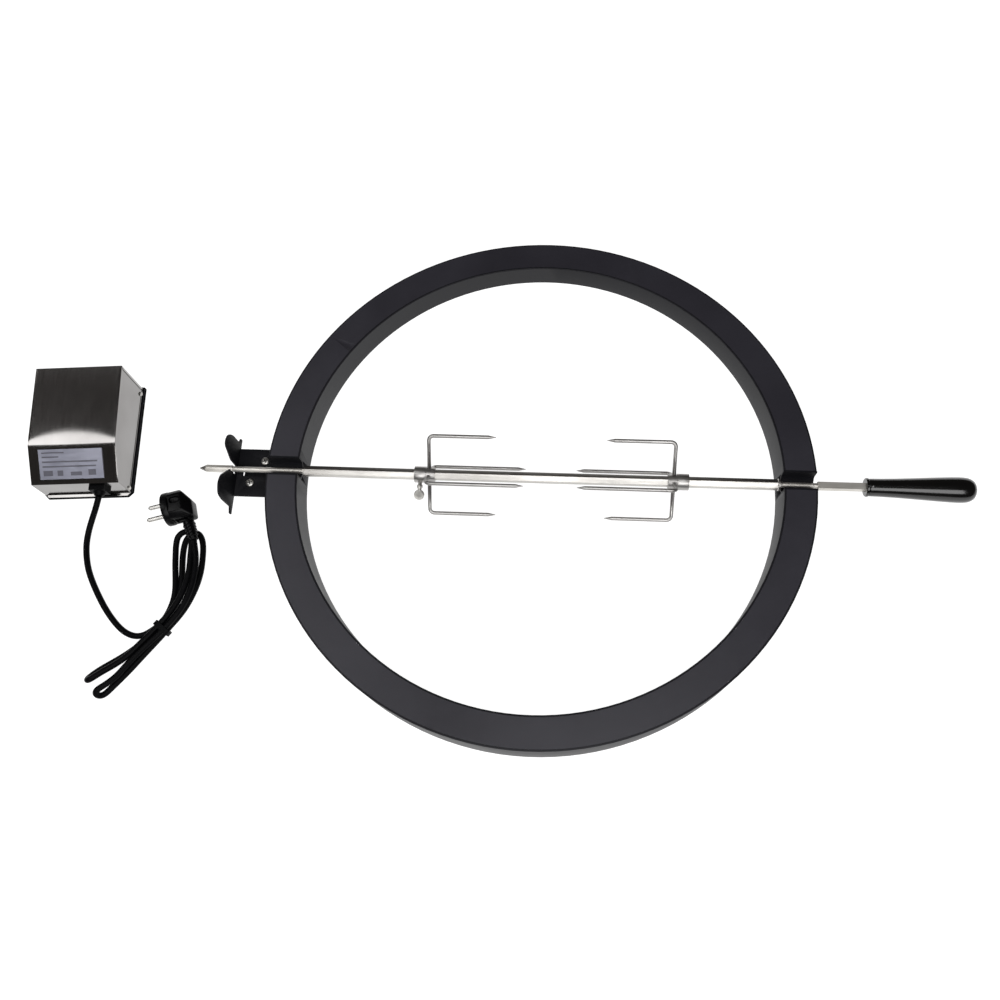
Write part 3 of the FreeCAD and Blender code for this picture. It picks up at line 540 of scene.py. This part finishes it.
def makeScrews(setup):
    parts = []
    for x, y in setup["places"]:
        head = roundBar("screwHead", (x, y, setup["seat"]), (0, 0, 1), setup["profile"], 48)
        long, wide = setup["crossLength"] / 2, setup["crossWidth"] / 2
        for turn in setup["crossTurns"]:
            cutter = block("crossCutter", (-long, -wide, setup["crossFloor"]),
                           (long, wide, setup["crossTop"]))
            moveBy(cutter, Matrix.Translation((x, y, setup["seat"]))
                   @ Matrix.Rotation(math.radians(turn), 4, "Z"))
            cutWith(head, cutter)
        shank = roundBar("screwShank", (x, y, setup["shankFoot"]), (0, 0, 1), setup["shankProfile"], 24)
        parts += [head, shank]
    piece = joinPieces("bracketScrews", parts)
    finishPiece(piece, brightScrew, "ring", ["bracket_screws"])
    # the cross recess is in shadow
    piece.data.materials.append(bracketCoatAndShade)
    for face in piece.data.polygons:
        reach = min((face.center.xy - Vector(place)).length for place in setup["places"])
        rise = face.center.z - setup["seat"]
        if reach < setup["darkReach"] and setup["darkLow"] < rise < setup["darkHigh"]:
            if face.normal.z < 0.3 or rise < setup["darkFloor"]:
                face.material_index = 1


makeScrews(screwSetup)
print("bracket made")

spitSetup = {
    "line": -0.003,
    "height": 0.028,
    "edge": 0.0004,
    "driveFrom": -0.3475,
    "driveTo": -0.2452,
    "squareFrom": 0.2465,
    "collarStart": 0.2433,
    "collarProfile": [(0, 0.0057), (0.0005, 0.0063), (0.0025, 0.0063), (0.003, 0.0057)],
}


def makeSpit(setup):
    rod = copyNode("spit_rod", "spitRod")
    bevelPiece(rod, setup["edge"], 2, 28)
    finishPiece(rod, spitSteel, "spit", ["spit_rod"], 25)
    # the journals and square ends are frosted
    rod.data.materials.append(frostSteel)
    for face in rod.data.polygons:
        x = face.center.x
        if setup["driveFrom"] < x < setup["driveTo"] or x > setup["squareFrom"]:
            face.material_index = 1
    collar = roundBar("thrustCollar", (setup["collarStart"], setup["line"], setup["height"]), (1, 0, 0),
                      setup["collarProfile"], 48)
    finishPiece(collar, spitSteel, "spit", ["thrust_collar"])


makeSpit(spitSetup)

handleSetup = {
    "start": 0.3332,
    "lipStart": 0.3302,
    "line": -0.003,
    "height": 0.028,
    "ferrule": [(0, 0.0088), (0.0006, 0.0095), (0.0022, 0.0096), (0.0028, 0.0090)],
    "profile": [
        (0, 0.0084), (0.0006, 0.0089), (0.004, 0.00905), (0.012, 0.0092), (0.028, 0.0098),
        (0.048, 0.0109), (0.066, 0.0120), (0.080, 0.01275), (0.088, 0.0130), (0.0925, 0.0129),
        (0.0965, 0.0125), (0.0998, 0.0114), (0.1026, 0.0096), (0.1043, 0.0070), (0.1050, 0.0040),
        (0.1052, 0.0014),
    ],
}


def makeHandle(setup):
    grip = roundBar("handleGrip", (setup["start"], setup["line"], setup["height"]), (1, 0, 0),
                    setup["profile"], 96)
    finishPiece(grip, handleGloss, "spit", ["handle"], 50)
    lip = roundBar("handleLip", (setup["lipStart"], setup["line"], setup["height"]), (1, 0, 0),
                   setup["ferrule"], 64)
    finishPiece(lip, handleGloss, "spit", ["handle_ferrule"])


makeHandle(handleSetup)
print("spit made")

forkSetup = {"collarEdge": 0.0005, "screwEdge": 0.0005, "prongShade": 50}


def makeForks(setup):
    for side in ("left", "right"):
        body = "fork_" + side
        collar = copyNode("fork_%s_collar" % side, side + "Collar")
        bevelPiece(collar, setup["collarEdge"], 2, 40)
        finishPiece(collar, forkSteel, body, ["fork_%s_collar" % side])
        for pair in ("wide", "long"):
            node = "fork_%s_%s_prongs" % (side, pair)
            prongs = copyNode(node, side + pair.capitalize() + "Prongs")
            finishPiece(prongs, forkSteel, body, [node], setup["prongShade"])
        screw = copyNode("fork_%s_thumbscrew" % side, side + "Thumbscrew")
        bevelPiece(screw, setup["screwEdge"], 2, 40)
        finishPiece(screw, brightScrew, body + "_screw", ["fork_%s_thumbscrew" % side])


makeForks(forkSetup)
print("forks made")

motorSetup = {
    "middle": (-0.4882, 0.0336),
    "turn": 3.7,
    "halfWidth": 0.0466,
    "front": -0.0612,
    "ridge": -0.0234,
    "back": 0.0621,
    "foot": 0.0035,
    "frontHeight": 0.0350,
    "ridgeHeight": 0.0543,
    "backHeight": 0.0607,
    "dropSlope": 0.0875,
    "dropReach": 0.26,
    "dropFade": 0.7,
    "edge": 0.0007,
    "seamWidth": 0.0030,
    "seamStep": 0.0002,
    "seamDepth": 0.0004,
    "acrossCount": 32,
    "labelRows": 8,
    "mainRows": 48,
}
motorPlace = (Matrix.Translation((*motorSetup["middle"], 0))
              @ Matrix.Rotation(math.radians(motorSetup["turn"]), 4, "Z"))


def coverTop(setup, across, along):
    # label face, then the main face, which rolls over near the ridge, most in the middle
    ridge, back = setup["ridge"], setup["back"]
    side = (across / setup["halfWidth"]) ** 2
    reach = setup["dropReach"] * (1 - setup["dropFade"] * side)
    full = setup["dropSlope"] * reach * (back - ridge) / 2
    if along <= ridge:
        share = (along - setup["front"]) / (ridge - setup["front"])
        rise = setup["ridgeHeight"] - full - setup["frontHeight"]
        return setup["frontHeight"] + rise * share
    share = (along - ridge) / (back - ridge)
    drop = full * (1 - share / reach) ** 2 if share < reach else 0
    rise = setup["backHeight"] - setup["ridgeHeight"]
    return setup["ridgeHeight"] + rise * share - drop


def makeCover(setup):
    deselectAll()
    wide = 2 * setup["halfWidth"]
    labelRows, mainRows = setup["labelRows"], setup["mainRows"]
    total = labelRows + mainRows
    bpy.ops.mesh.primitive_grid_add(x_subdivisions=setup["acrossCount"], y_subdivisions=total,
                                    size=1.0, location=(0, 0, 0))
    piece = bpy.context.object
    piece.name = "motorCover"
    for vertex in piece.data.vertices:
        row = round((vertex.co.y + 0.5) * total)
        if row <= labelRows:
            along = setup["front"] + (setup["ridge"] - setup["front"]) * row / labelRows
        else:
            reach = setup["back"] - setup["ridge"]
            along = setup["ridge"] + reach * (row - labelRows) / mainRows
        across = vertex.co.x * wide
        vertex.co = (across, along, coverTop(setup, across, along))
    makeActive(piece)
    bpy.ops.object.mode_set(mode="EDIT")
    bpy.ops.mesh.select_all(action="SELECT")
    bpy.ops.mesh.region_to_loop()
    bpy.ops.mesh.extrude_region_move(TRANSFORM_OT_translate={"value": (0, 0, -0.004)})
    bpy.ops.transform.resize(value=(1, 1, 0), center_override=(0, 0, setup["foot"]))
    bpy.ops.mesh.edge_face_add()
    bpy.ops.object.mode_set(mode="OBJECT")
    tidyNormals(piece)
    # side walls let in a little behind a folded margin
    for sign in (-1, 1):
        makeActive(piece)
        bpy.ops.object.mode_set(mode="EDIT")
        bpy.ops.mesh.select_mode(type="FACE")
        bpy.ops.mesh.select_all(action="DESELECT")
        bpy.ops.object.mode_set(mode="OBJECT")
        for face in piece.data.polygons:
            face.select = face.normal.x * sign > 0.9
        bpy.ops.object.mode_set(mode="EDIT")
        bpy.ops.mesh.inset(thickness=setup["seamWidth"], depth=0)
        bpy.ops.mesh.inset(thickness=setup["seamStep"], depth=-setup["seamDepth"])
        bpy.ops.object.mode_set(mode="OBJECT")
    bevelEdges(piece, lambda a, b: min(abs(a.x), abs(b.x)) > setup["halfWidth"] - 1e-5
               and (a - b).length > 0.0005, setup["edge"], 3)
    moveBy(piece, motorPlace)
    tidyNormals(piece)
    finishPiece(piece, coverSteel, "motor_box", ["motor_cover"], 24)


makeCover(motorSetup)

# bars on the rating plate: start and rise from its lower left corner, length, height
baseSetup = {
    "plateEdge": 0.0003,
    "ratingEdge": 0.0001,
    "barSink": 0.0002,
    "barProud": 0.00004,
    "bars": [
        (0.0035, 0.0272, 0.0240, 0.0014), (0.0035, 0.0228, 0.0180, 0.0014),
        (0.0035, 0.0176, 0.0590, 0.0016), (0.0035, 0.0126, 0.0570, 0.0016),
        (0.0040, 0.0036, 0.0100, 0.0056), (0.0190, 0.0036, 0.0060, 0.0056),
        (0.0330, 0.0036, 0.0120, 0.0040), (0.0520, 0.0036, 0.0080, 0.0060),
    ],
}


def makeBase(setup):
    plate = copyNode("motor_base_plate", "motorBasePlate")
    bevelPiece(plate, setup["plateEdge"], 2, 40)
    # steel flange in front, black edge round the other sides
    makeActive(plate)
    bpy.ops.object.mode_set(mode="EDIT")
    bpy.ops.mesh.select_all(action="SELECT")
    bpy.ops.mesh.bisect(plane_co=motorPlace @ Vector((motorSetup["halfWidth"], 0, 0)),
                        plane_no=motorPlace.to_3x3() @ Vector((1, 0, 0)))
    bpy.ops.object.mode_set(mode="OBJECT")
    finishPiece(plate, bracketCoatAndShade, "motor_box", ["motor_base_plate"])
    plate.data.materials.append(coverSteel)
    for face in plate.data.polygons:
        if face.normal.z > 0.5 and (motorPlace.inverted() @ face.center).x < motorSetup["halfWidth"]:
            face.material_index = 1
    gasket = copyNode("base_gasket", "baseGasket")
    bevelPiece(gasket, setup["plateEdge"], 2, 40)
    finishPiece(gasket, gasketRubber, "motor_box", ["base_gasket"])
    rating = copyNode("rating_plate", "ratingPlate")
    bevelPiece(rating, setup["ratingEdge"], 1, 40)
    finishPiece(rating, ratingSilver, "motor_box", ["rating_plate"])
    # plain bars in a frame laid on the label face
    slope = math.atan2(motorSetup["ridgeHeight"] - motorSetup["frontHeight"],
                       motorSetup["ridge"] - motorSetup["front"])
    face = (motorPlace @ Matrix.Translation((0, motorSetup["front"], motorSetup["frontHeight"]))
            @ Matrix.Rotation(slope, 4, "X"))
    corners = [face.inverted() @ vertex.co for vertex in rating.data.vertices]
    left, low = min(c.x for c in corners), min(c.y for c in corners)
    top = max(c.z for c in corners)
    bars = []
    for start, rise, length, height in setup["bars"]:
        x, y = left + start, low + rise
        bar = block("ratingBar", (x, y, top - setup["barSink"]),
                    (x + length, y + height, top + setup["barProud"]))
        moveBy(bar, face)
        bar.data.materials.append(ratingInk)
        bars.append(bar)
    joinPieces("ratingPlate", [rating] + bars)


makeBase(baseSetup)
print("motor box made")

# plug: round face, body with its corners off and finger recesses, ribbed sleeve
plugSetup = {
    "base": (-0.3895, -0.048, 0.0185),
    "turn": 197.0,
    "faceProfile": [(0, 0.0166), (0.0008, 0.0176), (0.0014, 0.0178), (0.0066, 0.0178),
                    (0.0074, 0.0174), (0.0080, 0.0160)],
    "bodyStart": -0.0062,
    "bodyEnd": -0.0306,
    "half": 0.0152,
    "cornerShare": 0.62,
    "slantStart": -0.0205,
    "taperStart": -0.0215,
    "edge": 0.0016,
    "recessRound": 0.0024,
    "recessSink": 0.003,
    "topRecess": ((-0.0205, -0.0065, 0), (-0.0095, 0.0005, 0.006)),
    "sideRecess": ((-0.0225, 0, -0.0065), (-0.0095, 0.006, 0.0065)),
}
plugPlace = (Matrix.Translation(plugSetup["base"])
             @ Matrix.Rotation(math.radians(plugSetup["turn"]), 4, "Z"))


def bisectPiece(piece, place, normal):
    makeActive(piece)
    bpy.ops.object.mode_set(mode="EDIT")
    bpy.ops.mesh.select_all(action="SELECT")
    bpy.ops.mesh.bisect(plane_co=place, plane_no=normal, use_fill=True, clear_outer=True)
    bpy.ops.object.mode_set(mode="OBJECT")


def makePlug(setup):
    half = setup["half"]
    face = roundBar("plugFace", (0, 0, 0), (-1, 0, 0), setup["faceProfile"], 72)
    shell = block("plugShell", (setup["bodyEnd"], -half, -half), (setup["bodyStart"], half, half))
    # corners off along the axis, then the slanted back
    for side, lift in ((-1, -1), (-1, 1), (1, -1), (1, 1)):
        bisectPiece(shell, (0, side * half * setup["cornerShare"], lift * half), (0, side, lift))
    bisectPiece(shell, (setup["slantStart"], -half, 0), (-0.80, -0.60, 0))
    for lift in (1, -1):
        bisectPiece(shell, (setup["taperStart"], 0, lift * half), (-0.62, 0, lift * 0.78))
    bevelPiece(shell, setup["edge"], 3, 20)
    # finger recesses above and below, then on both sides
    for lift in (-1, 1):
        recess = block("plugRecess", *setup["topRecess"], setup["recessRound"], 4)
        moveBy(recess, Matrix.Translation((0, 0, lift * half - setup["recessSink"])))
        cutWith(shell, recess)
    for side in (-1, 1):
        recess = block("plugRecess", *setup["sideRecess"], setup["recessRound"], 4)
        moveBy(recess, Matrix.Translation((0, side * half - setup["recessSink"], 0)))
        cutWith(shell, recess)
    plug = joinPieces("plugBody", [face, shell])
    moveBy(plug, plugPlace)
    tidyNormals(plug)
    return plug


sleeveSetup = {
    "neck": (-0.0177, 0.0028, -0.0070),
    "end": (-0.3565, -0.0770, 0.0115),
    "ribCount": 5,
    "firstRib": 0.0185,
    "ribGap": 0.0034,
    "ribRadius": 0.0066,
    "ribTaper": 0.00026,
    "ribStep": 0.0008,
}


def ribSleeve(setup):
    # rings stand proud along the tapered sleeve
    piece = copyNode("plug_strain_relief", "plugSleeve")
    neck = plugPlace @ Vector(setup["neck"])
    end = Vector(setup["end"])
    axis = (end - neck).normalized()
    reach = (end - neck).length
    ribs = [piece]
    for index in range(setup["ribCount"]):
        along = reach - setup["firstRib"] + index * setup["ribGap"]
        radius = setup["ribRadius"] - setup["ribTaper"] * index
        foot = radius - setup["ribStep"]
        ribs.append(roundBar("sleeveRib", neck + axis * along, axis,
                             [(0, foot), (0.0004, radius), (0.0014, radius), (0.0018, foot)], 32))
    return joinPieces("plugSleeve", ribs)


finishPiece(makePlug(plugSetup), plugPlastic, "motor_box", ["plug_body"])
finishPiece(ribSleeve(sleeveSetup), plugPlastic, "motor_box", ["plug_strain_relief"])
print("plug made")

# a thin strap round the five strands
tieSetup = {
    "place": (-0.3765, -0.1705, 0),
    "turn": -37.0,
    "foot": 0.0001,
    "half": 0.0098,
    "wide": 0.0026,
    "top": 0.0130,
    "sheet": 0.0007,
    "outerRound": 0.0040,
    "innerRound": 0.0034,
}


def makeTie(setup):
    half, wide, top, sheet = setup["half"], setup["wide"], setup["top"], setup["sheet"]
    strap = block("hankTie", (-half, -wide, setup["foot"]), (half, wide, top))
    bevelEdges(strap, lambda a, b: abs(a.y - b.y) > wide, setup["outerRound"], 5)
    inside = block("tieInside", (-half + sheet, -0.01, setup["foot"] + sheet),
                   (half - sheet, 0.01, top - sheet))
    bevelEdges(inside, lambda a, b: abs(a.y - b.y) > wide, setup["innerRound"], 5)
    cutWith(strap, inside)
    moveBy(strap, Matrix.Translation(setup["place"])
           @ Matrix.Rotation(math.radians(setup["turn"]), 4, "Z"))
    return strap


finishPiece(makeTie(tieSetup), cordRubber, "motor_box", ["hank_tie"])

# the pieces that keep their CAD shape
keptFinish = {
    "bracket_nuts": brightScrew, "cover_screws": brightScrew, "output_gear": gearPlastic,
    "idler_two": gearPlastic, "idler_one": gearPlastic, "rotor_pinion": gearPlastic,
    "idler_two_pin": innerSteel, "idler_one_pin": innerSteel, "gear_plate": innerSteel,
    "gear_posts": innerSteel, "synchronous_motor": innerSteel, "drive_socket": innerSteel,
    "output_bush": brassTurned, "terminal_block": terminalPlastic, "cord_grommet": cordRubber,
    "plug_pins": brightScrew,
}
for node, material in keptFinish.items():
    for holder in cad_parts[node].material_slots:
        holder.material = material
print("kept pieces finished")

stageSetup = {
    "floor": 24.0,
    "floorDrop": 0.0002,
    "floorColour": (0.25, 0.25, 0.25),
    "floorRough": 0.7,
    "glow": 0.97,
    "sky": (0.055, 0.050, 0.047),
}
lightSetup = [
    {"place": (0.3, -1.35, 1.65), "aim": (0.2, -0.05, 0.0), "size": (2.1, 1.2), "power": 30.0},
    {"place": (0.2, -0.35, 2.2), "aim": (0.0, -0.2, 0.0), "size": (1.0, 0.5), "power": 8.0},
    {"place": (-1.28, -0.035, 1.50), "size": (1.3, 0.63), "power": 9.0},
    {"place": (-1.28, 0.82, 1.50), "size": (1.3, 0.40), "power": 1.3},
]


def setStage(setup):
    deselectAll()
    bpy.ops.mesh.primitive_plane_add(size=setup["floor"], location=(0, 0, -setup["floorDrop"]))
    floor = bpy.context.object
    floor.name = "studioFloor"
    material, _, shader, _ = startMaterial("studioFloor")
    shader.inputs["Base Color"].default_value = (*setup["floorColour"], 1)
    shader.inputs["Roughness"].default_value = setup["floorRough"]
    shader.inputs["Emission Color"].default_value = (1, 1, 1, 1)
    shader.inputs["Emission Strength"].default_value = setup["glow"]
    floor.data.materials.append(material)
    world = bpy.data.worlds.new("studio")
    world.use_nodes = True
    world.node_tree.nodes["Background"].inputs["Color"].default_value = (*setup["sky"], 1)
    bpy.context.scene.world = world
    bpy.context.scene.view_settings.view_transform = "Standard"


def addLights(setups):
    for index, setup in enumerate(setups):
        data = bpy.data.lights.new("softLight%d" % index, "AREA")
        data.shape = "RECTANGLE"
        data.size, data.size_y = setup["size"]
        data.energy = setup["power"]
        light = bpy.data.objects.new("softLight%d" % index, data)
        bpy.context.collection.objects.link(light)
        light.location = setup["place"]
        # panels without an aim face straight down
        if "aim" in setup:
            aim = Vector(setup["aim"]) - light.location
            light.rotation_euler = aim.to_track_quat("-Z", "Y").to_euler()


setStage(stageSetup)
addLights(lightSetup)
print("stage set")
